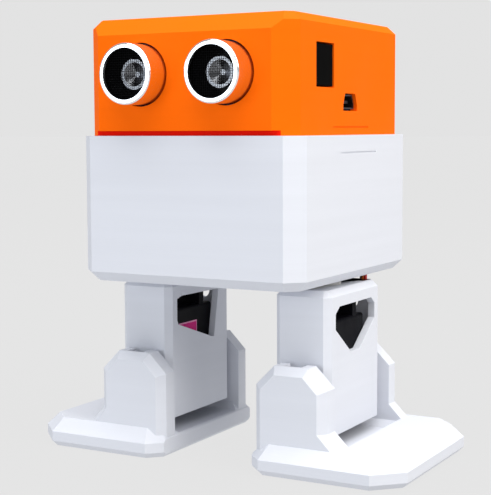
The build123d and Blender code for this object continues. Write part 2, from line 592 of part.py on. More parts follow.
def sensor_board():
    y = eye_front() + EYE_LEN
    w, t, h = SENSOR_BOARD
    board = block((-w / 2, w / 2), (y, y + t), (EYE_Z - h / 2, EYE_Z + h / 2))
    for sx in (1, -1):
        for sz in (1, -1):
            board -= rod((sx * (w / 2 - 2.6), y - 1, EYE_Z + sz * (h / 2 - 1.6)), (0, 1, 0), 0.9, t + 2)
    return board


def sensor_back():
    return eye_front() + EYE_LEN + SENSOR_BOARD[1]


def sensor_crystal():
    y = sensor_back()
    can = block((-5.2, 5.2), (y, y + 3.5), (EYE_Z + 3.5, EYE_Z + 8.0))
    return fillet(can.edges().filter_by(Axis.Y), 2.0)


def sensor_chips():
    y = sensor_back()
    return group([block((x - 4.4, x + 4.4), (y, y + 1.6), (EYE_Z - 4.5, EYE_Z + 0.5)) for x in (-14, 0, 14)])


def sensor_header():
    """Four pins out of the back of the board."""
    y, z = sensor_back(), EYE_Z - 8.0
    strip = block((-2 * PITCH, 2 * PITCH), (y, y + PITCH), (z - PITCH / 2, z + PITCH / 2))
    for i in range(4):
        x = (i - 1.5) * PITCH
        strip += block((x - 0.32, x + 0.32), (y + PITCH - 0.01, y + 8), (z - 0.32, z + 0.32))
    return strip


# ---- boards ----------------------------------------------------------------------------
def shield_board():
    w, d, t = SHIELD
    board = block((-w / 2, w / 2), (-d / 2, d / 2), (SHIELD_Z, SHIELD_TOP))
    for x, y in post_places():
        board -= rod((x, y, SHIELD_Z - 1), (0, 0, 1), 1.6, t + 2)
    return board


def board_screws():
    shapes = []
    for x, y in post_places():
        head = rod((x, y, SHIELD_Z), (0, 0, -1), 2.5, 1.7)
        head -= block((x - 1.5, x + 1.5), (y - 0.35, y + 0.35), (SHIELD_Z - 2, SHIELD_Z - 0.9))
        head -= block((x - 0.35, x + 0.35), (y - 1.5, y + 1.5), (SHIELD_Z - 2, SHIELD_Z - 0.9))
        shapes.append(head + rod((x, y, SHIELD_Z - 0.01), (0, 0, 1), 1.2, 7.5))
    return group(shapes)


def controller_board():
    w, d, t = CONTROLLER
    x, y = CONTROLLER_X, CONTROLLER_Y
    board = block((x - w / 2, x + w / 2), (y - d / 2, y + d / 2), (CONTROLLER_Z, CONTROLLER_TOP))
    for sx in (1, -1):
        for sy in (1, -1):
            board -= rod((x + sx * (w / 2 - 1.4), y + sy * (d / 2 - 1.4), CONTROLLER_Z - 1), (0, 0, 1), 0.8, 4)
    return board


def controller_headers():
    """Two 15-pin socket strips on the expansion board, with the pin strips plugged into them."""
    length = 15 * PITCH
    shapes = []
    for sy in (1, -1):
        y = CONTROLLER_Y + sy * 3 * PITCH
        x = (CONTROLLER_X - length / 2 + 0.4, CONTROLLER_X + length / 2 - 0.4)
        shapes.append(block(x, (y - PITCH / 2, y + PITCH / 2), (SHIELD_TOP, SHIELD_TOP + 8.46)))
        shapes.append(block(x, (y - PITCH / 2, y + PITCH / 2), (SHIELD_TOP + 8.46, CONTROLLER_Z)))
    return group(shapes)


def controller_chips():
    z = CONTROLLER_TOP
    x, y = CONTROLLER_X, CONTROLLER_Y
    main = Pos(x - 2, y, z + 0.6) * Rot(0, 0, 45) * Box(7, 7, 1.2)
    crystal = block((x - 12, x - 8.4), (y - 1.7, y + 1.7), (z, z + 1.1))
    reset = block((x - 18, x - 14.5), (y - 1.8, y + 1.8), (z, z + 1.8))
    regulator = block((x + 5, x + 8.4), (y - 3, y + 3), (z, z + 1.5))
    return group([main, crystal, reset, regulator])


def usb_connector():
    """A folded steel shell round a tongue, wider at the bottom."""
    x1 = HEAD_W / 2 - USB_RECESS
    low, high, z = USB_W / 2, USB_TOP_W / 2, CONTROLLER_TOP

    def outline(d):
        return [(CONTROLLER_Y - low + d, z + d), (CONTROLLER_Y + low - d, z + d),
                (CONTROLLER_Y + low - d, z + 1.4), (CONTROLLER_Y + high - d, z + USB_H - d),
                (CONTROLLER_Y - high + d, z + USB_H - d), (CONTROLLER_Y - low + d, z + 1.4)]

    shell = prism_x(outline(0), (x1 - USB_L, x1)) - prism_x(outline(0.4), (x1 - USB_L + 1.5, x1 + 1))
    tongue = block((x1 - USB_L + 1, x1 - 1.0), (CONTROLLER_Y - 2.2, CONTROLLER_Y + 2.2), (z + 1.5, z + 2.3))
    return shell + tongue


def servo_pin_header():
    """Three rows of pins beside the rear edge of the expansion board."""
    columns = 8
    strips = block((-columns / 2 * PITCH, columns / 2 * PITCH), (PLUG_Y - 1.5 * PITCH, PLUG_Y + 1.5 * PITCH),
                   (SHIELD_TOP, SHIELD_TOP + PITCH))
    return strips


def plug_height():
    return SHIELD_TOP + PITCH, SHIELD_TOP + PITCH + 14.0


def lead_plugs():
    """Three-way plugs of the four servo leads and the four-way plugs of the sensor lead."""
    low, high = plug_height()
    shapes = [block((x - PITCH / 2, x + PITCH / 2), (PLUG_Y - 1.5 * PITCH, PLUG_Y + 1.5 * PITCH), (low, high))
              for x in PLUG_XS]
    x, y = SENSOR_PLUG
    shapes.append(block((x - 2 * PITCH, x + 2 * PITCH), (y - PITCH / 2, y + PITCH / 2), (SHIELD_TOP, high)))
    back, z = sensor_back() + PITCH, EYE_Z - 8.0
    socket = block((-2 * PITCH, 2 * PITCH), (back, back + SENSOR_SOCKET_L), (z - PITCH / 2, z + PITCH / 2))
    for i in range(4):
        pin = (i - 1.5) * PITCH
        socket -= block((pin - 0.36, pin + 0.36), (back - 1, back + 6), (z - 0.36, z + 0.36))
    shapes.append(socket)
    return group(shapes)


def power_terminal():
    x, y = TERMINAL_XY
    body = block((x - 5.1, x + 5.1), (y - 4, y + 4), (SHIELD_TOP, SHIELD_TOP + 10))
    for s in (1, -1):
        body -= rod((x + s * 2.55, y, SHIELD_TOP + 10.1), (0, 0, -1), 1.9, 3)
        body -= rod((x + s * 2.55, y + 4.1, SHIELD_TOP + 3.4), (0, -1, 0), WIRE_R, 4)
        body += rod((x + s * 2.55, y, SHIELD_TOP + 6.9), (0, 0, 1), 1.7, 2.4)
    return body


def buzzer():
    x, y = 17.0, -16.5
    body = rod((x, y, SHIELD_TOP), (0, 0, 1), 6.0, 8.5)
    body = fillet(body.edges().sort_by(Axis.Z)[-1], 0.6)
    return body - rod((x, y, SHIELD_TOP + 9), (0, 0, -1), 1.0, 3)


# ---- power -----------------------------------------------------------------------------
def holder_base():
    return FLOOR_Z + BODY_WALL + 0.2


def cell_places():
    z0 = holder_base() + 1.2 + CELL_R
    return [(sx * CELL_PITCH / 2, z0 + row * (HOLDER_H - 2.4 - 2 * CELL_R)) for sx in (1, -1) for row in (0, 1)]


def battery_holder():
    """A two-sided tray: a middle web, side cheeks and end walls; the cells clip in from both faces."""
    z = (holder_base(), holder_base() + HOLDER_H)
    x, y = HOLDER_W / 2, HOLDER_L / 2
    tray = block((-x, x), (-y, y), z)
    for cx, cz in cell_places():
        tray -= rod((cx, -CELL_L / 2 - 2.2, cz), (0, 1, 0), CELL_R + 0.15, CELL_L + 4.4)
    for low in (True, False):
        edge = (z[0] - 1, z[0] + 5) if low else (z[1] - 5, z[1] + 1)
        tray -= block((-CELL_PITCH / 2 - 4.6, -CELL_PITCH / 2 + 4.6), (-y + 4, y - 4), edge)
        tray -= block((CELL_PITCH / 2 - 4.6, CELL_PITCH / 2 + 4.6), (-y + 4, y - 4), edge)
    return tray


def battery_cells():
    shapes = []
    for i, (x, z) in enumerate(cell_places()):
        turn = 1 if i % 2 else -1
        body = rod((x, -turn * (CELL_L / 2), z), (0, turn, 0), CELL_R, CELL_L - 1.2)
        body = fillet(body.edges(), 0.5)
        shapes.append(body + rod((x, turn * (CELL_L / 2 - 1.3), z), (0, turn, 0), 2.7, 1.3))
    return group(shapes)


def battery_contacts():
    """Plates at the button ends and coil springs, drawn as cones, at the flat ends."""
    shapes = []
    for i, (x, z) in enumerate(cell_places()):
        turn = 1 if i % 2 else -1
        start = turn * CELL_L / 2
        shapes.append(rod((x, start + turn * 0.02, z), (0, turn, 0), 4.0, 0.5))
        plate = rod((x, -start - turn * 2.15, z), (0, turn, 0), 4.5, 0.4)
        height = 1.72
        y = -start - turn * (2.15 - 0.4 - height / 2)
        spring = Pos(x, y, z) * Rot(-90 * turn, 0, 0) * Cone(4.0, 2.2, height)
        shapes.append(plate + spring)
    return group(shapes)


def power_switch_body():
    """The latching switch in its sleeve, with two solder tags."""
    x1 = HEAD_W / 2 - HEAD_WALL - 2.6
    y, z = SWITCH_W / 2 - 0.15, SWITCH_H / 2 - 0.15
    body = block((x1 - 9.5, x1), (SWITCH_Y - y, SWITCH_Y + y), (SWITCH_Z - z, SWITCH_Z + z))
    body -= rod((x1 - 4.9, SWITCH_Y, SWITCH_Z), (1, 0, 0), 2.6 + RUN_GAP / 2, 6)
    for s in (1, -1):
        tag_y = SWITCH_Y + 2.5 * s
        body += block((x1 - 12.5, x1 - 9.4), (tag_y - 1, tag_y + 1), (SWITCH_Z - 0.3, SWITCH_Z + 0.3))
    return body


def power_switch_button():
    """The square cap, just below the wall's surface, on a round plunger."""
    x1 = HEAD_W / 2 - 0.25
    y, z = SWITCH_W / 2 - 0.35, SWITCH_H / 2 - 0.35
    cap = block((x1 - 2.2, x1), (SWITCH_Y - y, SWITCH_Y + y), (SWITCH_Z - z, SWITCH_Z + z))
    cap = fillet(cap.faces().sort_by(Axis.X)[-1].edges(), 0.3)
    stem_from = HEAD_W / 2 - HEAD_WALL - 2.6 - 2.5
    return cap + rod((stem_from, SWITCH_Y, SWITCH_Z), (1, 0, 0), 2.6, x1 - 2.1 - stem_from)


# ---- leads -----------------------------------------------------------------------------
def lead_end(i):
    """The top of a servo plug, where its lead comes out."""
    return PLUG_XS[i], PLUG_Y, plug_height()[1]


def over_the_rear(i):
    """Up past the rear edge of the expansion board and down into a plug."""
    x, y, z = lead_end(i)
    return [(x, y + 7.0, z), (x, y + 4.6, z + 5.0), (x, y, z + 3.6), (x, y, z)]


def hip_lead(side):
    """Hip servo to its plug."""
    s = SIDES[side]
    i = 3 if s > 0 else 0
    tail_y = servo_middle() + SERVO_L / 2
    x = s * HIP_X
    return route([(x, tail_y, 77.6), (x, tail_y + 4.5, 77.6), (s * 22.0, 27.4, 79.5), (s * 14.0, 29.0, 85.0),
                  (PLUG_XS[i], 28.9, 92.0)] + over_the_rear(i), LEAD_R)


def ankle_lead_upper(side):
    """From the gap under the body to the plug: the half of the lead that stays with the body."""
    s = SIDES[side]
    i = 2 if s > 0 else 1
    x = s * (HIP_X + LEAD_X)
    gap = s * (HOLDER_W / 2 + 1.75)
    return route([(x, LEAD_Y, 49.95), (x, LEAD_Y, 52.3), (s * 25.3, 14.9, 54.3), (s * 20.8, 15.3, 54.9),
                  (gap, 16.6, 56.9), (gap, 22.0, 64.0),
                  (s * 17.0, 29.8, 68.0), (s * 12.5, 31.9, 71.5), (s * 6.5, 31.9, 79.0), (PLUG_XS[i], 29.4, 90.0)]
                 + over_the_rear(i), LEAD_R)


def ankle_lead_lower(side):
    """From the ankle servo over its tab and out of the leg's roof."""
    s = SIDES[side]
    case_end = ANKLE_Z - SERVO_SHAFT_END + SERVO_L
    x, g = s * HIP_X, s * (HIP_X + 4.72)
    y = ANKLE_CASE_Y + 2.6
    return route([(x, y, case_end), (x, y, case_end + 2.3), (x + s * 3.2, -7.2, 44.6), (g, -3.0, 45.95),
                  (g, 11.9, 45.95), (x + s * LEAD_X, LEAD_Y, 47.6), (x + s * LEAD_X, LEAD_Y, 49.55)], LEAD_R)


def sensor_lead():
    x, y = SENSOR_PLUG
    back, z = sensor_back() + PITCH + SENSOR_SOCKET_L, EYE_Z - 8.0
    top = plug_height()[1]
    return route([(0, back, z), (0, back + 4.2, z), (-3.5, back + 4.6, z + 6.4), (-9.0, back + 2.6, z + 10.4),
                  (-16.0, back, z + 10.0), (x, y, top + 4.2), (x, y, top)], 1.3)


def battery_leads():
    """Black from holder to terminal; red from holder to switch, and red from switch to terminal."""
    top = holder_base() + HOLDER_H - 3
    tx, ty = TERMINAL_XY
    tz = SHIELD_TOP + 3.4
    y0, y1 = HOLDER_L / 2, ty + 4.0
    tag_x = HEAD_W / 2 - HEAD_WALL - 2.6 - 12.5
    tag_a, tag_b = SWITCH_Y + 2.5, SWITCH_Y - 2.5
    black = route([(-13.0, y0, top), (-13.0, y0 + 2.4, top), (-13.8, 32.3, 80.2), (-17.5, 32.2, 86.0),
                   (-20.8, 28.0, 90.0), (tx - 2.55, y1 + 5.5, tz), (tx - 2.55, y1, tz)], WIRE_R)
    red = route([(13.0, y0, top), (13.0, y0 + 2.4, top), (13.8, 32.3, 80.2), (16.5, 32.3, 88.0),
                 (17.0, 31.0, 98.0), (17.0, 25.0, 106.5), (17.6, 10.0, 109.6), (16.6, -4.0, 111.0),
                 (10.5, -11.0, 109.5), (tag_x - 3.6, tag_a, SWITCH_Z), (tag_x, tag_a, SWITCH_Z)], WIRE_R)
    switched = route([(tag_x, tag_b, SWITCH_Z), (tag_x - 3.6, tag_b, SWITCH_Z), (4.0, -14.4, 108.0),
                      (-8.0, -5.0, 108.6), (-16.0, 6.0, 106.0), (-16.8, 17.0, 100.0),
                      (tx + 2.55, 21.4, tz + 3.6), (tx + 2.55, y1 + 5.5, tz), (tx + 2.55, y1, tz)], WIRE_R)
    return group([black, red, switched])


# ---- write every node ------------------------------------------------------------------
single = {
    "head_shell": head_shell, "body_shell": body_shell, "eye_meshes": eye_meshes,
    "eye_transducers": eye_transducers, "sensor_board": sensor_board, "sensor_crystal": sensor_crystal,
    "sensor_chips": sensor_chips, "sensor_header": sensor_header, "expansion_board": shield_board,
    "expansion_board_screws": board_screws, "controller_board": controller_board,
    "controller_headers": controller_headers, "controller_chips": controller_chips,
    "usb_connector": usb_connector, "servo_pin_header": servo_pin_header, "lead_plugs": lead_plugs,
    "power_terminal": power_terminal, "buzzer": buzzer, "battery_holder": battery_holder,
    "battery_cells": battery_cells, "battery_contacts": battery_contacts,
    "power_switch_body": power_switch_body, "power_switch_button": power_switch_button,
    "sensor_lead": sensor_lead, "battery_leads": battery_leads,
}
for name, make in single.items():
    save(name, make())

m = servo_middle()
save("hip_servo_screws", group([to_hip(tab_screw(m + s * SERVO_SCREW_SPACING / 2, True), side)
                                for side in SIDES for s in (1, -1)]))
leg, foot, case, gearbox = leg_shell(), foot_shell(), servo_case(), servo_gearbox()
shaft, horn, screw = servo_shaft(), turned_horn(servo_horn()), horn_screw()
for side in SIDES:
    save(f"eye_can_{side}", eye_can(side))
    save(f"hip_servo_{side}_case", to_hip(case, side))
    save(f"hip_servo_{side}_gearbox", to_hip(gearbox, side))
    save(f"hip_lead_{side}", hip_lead(side))
    save(f"ankle_lead_{side}_upper", ankle_lead_upper(side))
    save(f"leg_{side}", mirror_side(leg, side))
    save(f"hip_shaft_{side}", to_hip(shaft, side))
    save(f"hip_horn_{side}", to_hip(horn, side))
    save(f"ankle_servo_{side}_case", to_ankle(case, side))
    save(f"ankle_servo_{side}_gearbox", to_ankle(gearbox, side))
    save(f"ankle_servo_{side}_label", to_ankle(servo_label(), side))
    save(f"ankle_lead_{side}_lower", ankle_lead_lower(side))
    tab = to_ankle(Pos(0, 0, TAB_STOP_T) * tab_screw(m + SERVO_SCREW_SPACING / 2), side)
    save(f"leg_{side}_screws", group([to_hip(screw, side), tab]))
    save(f"foot_{side}", mirror_side(foot, side))
    save(f"ankle_shaft_{side}", to_ankle(shaft, side))
    save(f"ankle_horn_{side}", to_ankle(horn, side))
    save(f"ankle_horn_screw_{side}", to_ankle(screw, side))
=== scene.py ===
import json
import math

import bmesh
import bpy
from mathutils import Matrix, Vector


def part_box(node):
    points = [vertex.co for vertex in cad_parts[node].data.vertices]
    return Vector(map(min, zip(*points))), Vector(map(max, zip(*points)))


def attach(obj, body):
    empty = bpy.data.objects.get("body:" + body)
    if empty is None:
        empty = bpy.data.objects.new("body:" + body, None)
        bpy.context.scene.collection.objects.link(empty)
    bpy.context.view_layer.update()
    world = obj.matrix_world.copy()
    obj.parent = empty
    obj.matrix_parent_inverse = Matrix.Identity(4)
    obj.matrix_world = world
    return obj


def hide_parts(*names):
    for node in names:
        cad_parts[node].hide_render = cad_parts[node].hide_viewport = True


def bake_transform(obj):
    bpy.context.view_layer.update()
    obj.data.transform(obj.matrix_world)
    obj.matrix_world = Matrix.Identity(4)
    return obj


# The small two-legged walking robot: looks, floor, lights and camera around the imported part.

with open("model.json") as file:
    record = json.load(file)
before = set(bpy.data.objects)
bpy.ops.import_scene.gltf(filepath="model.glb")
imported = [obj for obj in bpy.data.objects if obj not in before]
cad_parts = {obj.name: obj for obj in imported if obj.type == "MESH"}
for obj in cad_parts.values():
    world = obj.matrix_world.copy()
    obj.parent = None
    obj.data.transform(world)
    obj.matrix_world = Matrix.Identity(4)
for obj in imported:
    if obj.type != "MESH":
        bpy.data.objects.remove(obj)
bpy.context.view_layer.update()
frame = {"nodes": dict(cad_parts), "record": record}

MM = 0.001
SIDES = {"left": 1, "right": -1}

body_low, body_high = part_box("body_shell")
SEAM = Vector(((body_low[0] + body_high[0]) / 2, (body_low[1] + body_high[1]) / 2, body_high[2]))

# Places that a material needs, because it changes part-way along its node.
CONE_H = 2.2 * MM                          # the cone is this deep, from the transducers' front
SLOT_H, SLOT_D = 1.35 * MM, 1.75 * MM      # the pry slot's height over the seam, and its depth
FRONT_SKIN = 0.05 * MM                     # the slot's painted shade starts this far behind the front
BLACK_IN, BLACK_BACK = 0.5 * MM, 1.0 * MM  # a can is black this far inside its outline and its front
BORDER_START = 0.475                       # of the label's size, from its middle

# Colours, linear.
WHITE = (0.68, 0.70, 0.76)
ORANGE = (1.0, 0.145, 0.001)
# painted shade: deep red standing in for the dim light inside the pry slot under the lid
SLOT_PAINTED_SHADE = (0.86, 0.010, 0.001)
PLUG_BLACK = (0.004, 0.004, 0.004)
CONE_GREY = (0.32, 0.33, 0.35)
ALUMINIUM = (0.91, 0.92, 0.93)
CAN_BLACK = (0.006, 0.006, 0.006)
MASK_BLUE = (0.01, 0.05, 0.16)
TRACK_BLUE = (0.02, 0.13, 0.32)
MAGENTA = (0.71, 0.013, 0.22)
BORDER_PINK = (0.85, 0.35, 0.55)


# ---- materials -------------------------------------------------------------------------
NOISE_LOW, NOISE_HIGH = 0.25, 0.75         # the part of a noise's range that is spread out
LAYER_STRETCH = (60, 60, 3200)             # cells per metre: printed layers of about 0.3 mm
BAND_STRETCH = (12, 12, 420)               # and bands of layers, about 2.4 mm


class Nodes:
    """Short names for building a material's node tree."""

    def __init__(self, name, color, roughness, metallic=0.0):
        self.material = bpy.data.materials.new(name)
        self.material.use_nodes = True
        self.tree = self.material.node_tree
        self.shader = self.tree.nodes["Principled BSDF"]
        self.shader.inputs["Base Color"].default_value = (*color, 1)
        self.shader.inputs["Roughness"].default_value = roughness
        self.shader.inputs["Metallic"].default_value = metallic
        self.position = self.add("ShaderNodeTexCoord").outputs["Object"]

    def add(self, kind, **settings):
        node = self.tree.nodes.new(kind)
        for key, value in settings.items():
            setattr(node, key, value)
        return node

    def link(self, out, into):
        self.tree.links.new(out, into)

    def specular(self, level):
        self.shader.inputs["Specular IOR Level"].default_value = level

    def axes(self, vector):
        split = self.add("ShaderNodeSeparateXYZ")
        self.link(vector, split.inputs["Vector"])
        return split.outputs

    def arithmetic(self, operation, value, other=None):
        """One step on a socket; the other side is a number, a socket or nothing."""
        step = self.add("ShaderNodeMath", operation=operation)
        self.link(value, step.inputs[0])
        if isinstance(other, (int, float)):
            step.inputs[1].default_value = other
        elif other is not None:
            self.link(other, step.inputs[1])
        return step.outputs[0]

    def noise(self, scale, detail=4.0, stretch=(1, 1, 1)):
        mapping = self.add("ShaderNodeMapping")
        mapping.inputs["Scale"].default_value = stretch
        self.link(self.position, mapping.inputs["Vector"])
        noise = self.add("ShaderNodeTexNoise")
        noise.inputs["Scale"].default_value = scale
        noise.inputs["Detail"].default_value = detail
        self.link(mapping.outputs["Vector"], noise.inputs["Vector"])
        return noise.outputs["Fac"]

    def spread(self, value, low, high):
        ramp = self.add("ShaderNodeMapRange")
        ramp.inputs["From Min"].default_value = NOISE_LOW
        ramp.inputs["From Max"].default_value = NOISE_HIGH
        ramp.inputs["To Min"].default_value = low
        ramp.inputs["To Max"].default_value = high
        self.link(value, ramp.inputs["Value"])
        return ramp.outputs["Result"]

    def roughness(self, value, low, high):
        self.link(self.spread(value, low, high), self.shader.inputs["Roughness"])

    def tint(self, value, color_a, color_b):
        """Base colour from A to B, as value goes from 0 to 1."""
        mix = self.add("ShaderNodeMix", data_type="RGBA")
        mix.inputs["A"].default_value = (*color_a, 1)
        mix.inputs["B"].default_value = (*color_b, 1)
        self.link(value, mix.inputs["Factor"])
        self.link(mix.outputs["Result"], self.shader.inputs["Base Color"])

    def tint_over(self, value, color):
        """The base colour as linked so far, with another over it where value is 1."""
        so_far = self.shader.inputs["Base Color"].links[0].from_socket
        mix = self.add("ShaderNodeMix", data_type="RGBA")
        self.link(value, mix.inputs["Factor"])
        self.link(so_far, mix.inputs["A"])
        mix.inputs["B"].default_value = (*color, 1)
        self.link(mix.outputs["Result"], self.shader.inputs["Base Color"])

    def bump(self, heights):
        """Each height is (value, strength, distance); they are stacked."""
        normal = None
        for value, strength, distance in heights:
            bump = self.add("ShaderNodeBump")
            bump.inputs["Strength"].default_value = strength
            bump.inputs["Distance"].default_value = distance
            self.link(value, bump.inputs["Height"])
            if normal is not None:
                self.link(normal, bump.inputs["Normal"])
            normal = bump.outputs["Normal"]
        self.link(normal, self.shader.inputs["Normal"])


def scaled(color, k):
    return tuple(min(c * k, 1.0) for c in color)


def slot_shade(n, color):
    """Painted shade: deep red in the pry slot under the lid's front edge, where light only arrives by
    way of the red plastic.
    """
    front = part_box("head_shell")[0][1]
    place = n.axes(n.position)
    low_enough = n.arithmetic("LESS_THAN", place["Z"], SEAM[2] + SLOT_H)
    behind_front = n.arithmetic("GREATER_THAN", place["Y"], front + FRONT_SKIN)
    before_back = n.arithmetic("LESS_THAN", place["Y"], front + SLOT_D)
    inside = n.arithmetic("MULTIPLY", n.arithmetic("MULTIPLY", low_enough, behind_front), before_back)
    # the slot's surfaces get the painted shade colour
    n.tint_over(inside, color)


def printed(name, color, roughness, specular, painted_slot_shade=None):
    """Extruded plastic: uneven layer lines, faint blotches, soft sheen."""
    n = Nodes(name, color, roughness)
    layers = n.noise(1.0, 2.0, LAYER_STRETCH)
    bands = n.noise(1.0, 1.0, BAND_STRETCH)
    n.tint(n.spread(bands, 0.0, 1.0), scaled(color, 0.975), color)
    n.roughness(n.noise(60, 3.0), roughness - 0.06, roughness + 0.08)
    n.bump([(layers, 0.1, 0.18 * MM), (bands, 0.05, 0.3 * MM)])
    n.specular(specular)
    # painted shade in the pry slot, when a colour for it is given
    if painted_slot_shade:
        slot_shade(n, painted_slot_shade)
    return n.material


def moulded(name, color, roughness, specular=0.5):
    """Injection-moulded plastic with a fine spark-eroded grain."""
    n = Nodes(name, color, roughness)
    smudge = n.noise(140, 3.0)
    n.tint(n.spread(smudge, 0, 1), scaled(color, 0.8), scaled(color, 1.15))
    n.roughness(smudge, roughness - 0.07, roughness + 0.12)
    n.bump([(n.noise(2600, 5.0), 0.25, 0.08 * MM)])
    n.specular(specular)
    return n.material


def metal(name, color, roughness):
    """Turned or plated metal: fine marks, with duller patches."""
    n = Nodes(name, color, roughness, metallic=1.0)
    patches = n.noise(220, 3.0)
    n.tint(n.spread(patches, 0, 1), scaled(color, 0.9), color)
    n.roughness(patches, roughness - 0.05, roughness + 0.1)
    n.bump([(n.noise(900), 0.15, 0.06 * MM)])
    return n.material


def transducer_look(name):
    """A grey metal cone on a nearly black plug: the cone is the front part of the node."""
    n = Nodes(name, PLUG_BLACK, 0.25)
    cone_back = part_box("eye_transducers")[0][1] + CONE_H
    in_cone = n.arithmetic("LESS_THAN", n.axes(n.position)["Y"], cone_back)
    n.tint(in_cone, PLUG_BLACK, CONE_GREY)
    n.link(in_cone, n.shader.inputs["Metallic"])
    n.specular(0.1)
    n.bump([(n.noise(1200), 0.15, 0.05 * MM)])
    return n.material


def can_look(name):
    """Drawn aluminium outside and on the rim, black on the inner wall behind the rim."""
    n = Nodes(name, ALUMINIUM, 0.2, metallic=1.0)
    low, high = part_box("eye_can_left")
    centre = ((low[0] + high[0]) / 2, 0, (low[2] + high[2]) / 2)
    radius = (high[0] - low[0]) / 2
    place = n.axes(n.position)
    folded = n.add("ShaderNodeCombineXYZ")      # the right can is folded over onto the left one
    n.link(n.arithmetic("ABSOLUTE", place["X"]), folded.inputs["X"])
    n.link(place["Z"], folded.inputs["Z"])
    distance = n.add("ShaderNodeVectorMath", operation="DISTANCE")
    distance.inputs[1].default_value = centre
    n.link(folded.outputs["Vector"], distance.inputs[0])
    inside = n.arithmetic("LESS_THAN", distance.outputs["Value"], radius - BLACK_IN)
    behind = n.arithmetic("GREATER_THAN", place["Y"], low[1] + BLACK_BACK)
    n.tint(n.arithmetic("MULTIPLY", inside, behind), ALUMINIUM, CAN_BLACK)
    n.bump([(n.noise(900, 4.0, (1, 0.06, 1)), 0.03, 0.06 * MM)])
    return n.material


def circuit_board(name):
    """Solder mask over a pattern of copper tracks."""
    n = Nodes(name, MASK_BLUE, 0.3)
    tracks = n.add("ShaderNodeTexBrick", offset=0.5)
    tracks.inputs["Scale"].default_value = 180
    tracks.inputs["Mortar Size"].default_value = 0.012
    n.link(n.position, tracks.inputs["Vector"])
    n.tint(tracks.outputs["Fac"], MASK_BLUE, TRACK_BLUE)
    n.bump([(tracks.outputs["Fac"], 0.3, 0.04 * MM), (n.noise(1500), 0.1, 0.04 * MM)])
    return n.material


def label_film(name):
    """Plain printed film: a magenta field inside a pale border, with no lettering."""
    n = Nodes(name, MAGENTA, 0.5)
    place = n.axes(n.add("ShaderNodeTexCoord").outputs["Generated"])
    from_middle = [n.arithmetic("ABSOLUTE", n.arithmetic("SUBTRACT", place[axis], 0.5)) for axis in "YZ"]
    border = n.arithmetic("GREATER_THAN", n.arithmetic("MAXIMUM", *from_middle), BORDER_START)
    n.tint(border, MAGENTA, BORDER_PINK)
    n.specular(0.1)
    n.bump([(n.noise(900), 0.12, 0.05 * MM)])
    return n.material


def insulation(name, color):
    """Soft wire cover with a slight orange-peel surface."""
    n = Nodes(name, color, 0.42)
    n.tint(n.spread(n.noise(250), 0, 1), scaled(color, 0.85), scaled(color, 1.1))
    n.bump([(n.noise(1800, 3.0), 0.2, 0.06 * MM)])
    return n.material


white = printed("printed_white", WHITE, roughness=0.55, specular=0.3)
# the orange lid's pry slot gets a painted shade
orange = printed("printed_orange", ORANGE, roughness=0.6, specular=0.04, painted_slot_shade=SLOT_PAINTED_SHADE)
black = moulded("moulded_black", (0.002, 0.002, 0.002), roughness=0.6, specular=0.02)
servo_black = moulded("servo_black", (0.003, 0.003, 0.005), roughness=0.45, specular=0.04)
horn_white = moulded("horn_white", (0.78, 0.78, 0.75), roughness=0.35)
terminal_blue = moulded("terminal_blue", (0.02, 0.12, 0.45), roughness=0.35)
cell_dark = moulded("cell_wrap", (0.05, 0.055, 0.065), roughness=0.25)
steel = metal("plated_steel", (0.62, 0.62, 0.63), roughness=0.28)
port_steel = metal("port_steel", (0.10, 0.10, 0.11), roughness=0.4)
gauze_wire = metal("gauze_wire", (0.008, 0.008, 0.009), roughness=0.5)
brass = metal("gear_brass", (0.80, 0.60, 0.28), roughness=0.3)
transducer = transducer_look("transducer")
can_metal = can_look("drawn_aluminium")
board_blue = circuit_board("solder_mask")
label = label_film("label_film")
wires = {
    "brown": insulation("wire_brown", (0.10, 0.035, 0.015)),
    "red": insulation("wire_red", (0.50, 0.015, 0.010)),
    "orange": insulation("wire_orange", (0.85, 0.20, 0.02)),
}

NODE_LOOKS = {
    "sensor_board": board_blue, "expansion_board": board_blue, "controller_board": board_blue,
    "eye_can_left": can_metal, "eye_can_right": can_metal, "eye_transducers": transducer,
    "sensor_crystal": steel, "expansion_board_screws": steel, "usb_connector": port_steel,
    "battery_contacts": steel, "hip_servo_screws": steel, "battery_cells": cell_dark,
    "power_terminal": terminal_blue, "sensor_lead": wires["brown"], "battery_leads": wires["red"],
}
# The first word found in a node's name decides, so "lead_plugs" stands before "lead".
WORD_LOOKS = {
    "screw": steel, "shaft": brass, "horn": horn_white, "label": label, "servo": servo_black,
    "lead_plugs": black, "lead": wires["orange"],
}


def look_of(node):
    if node in NODE_LOOKS:
        return NODE_LOOKS[node]
    for word, material in WORD_LOOKS.items():
        if word in node:
            return material
    return black


def dress_nodes():
    for name, obj in frame["nodes"].items():
        obj.data.materials.clear()
        obj.data.materials.append(look_of(name))


# ---- printed shells with eased edges ---------------------------------------------------
WELD_DISTANCE = 0.01 * MM
FLAT_ANGLE = math.radians(0.5)             # faces that meet at less are joined into one
SHARP_ANGLE = math.radians(28)             # edges that turn more are eased
EASE_SEGMENTS = 3
BOX_EASE, LEG_EASE, FOOT_EASE = 0.18 * MM, 0.3 * MM, 0.35 * MM


def add_object(name, data):
    obj = bpy.data.objects.new(name, data)
    bpy.context.collection.objects.link(obj)
    return obj


def body_holding(node):
    bodies = frame["record"]["behaviour"]["bodies"]
    return next(name for name, nodes in bodies.items() if node in nodes)


def new_piece(name, mesh, material, body, replaces=()):
    piece = add_object(name, mesh)
    mesh.materials.clear()
    mesh.materials.append(material)
    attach(piece, body)
    if replaces:
        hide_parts(*replaces)
    return piece


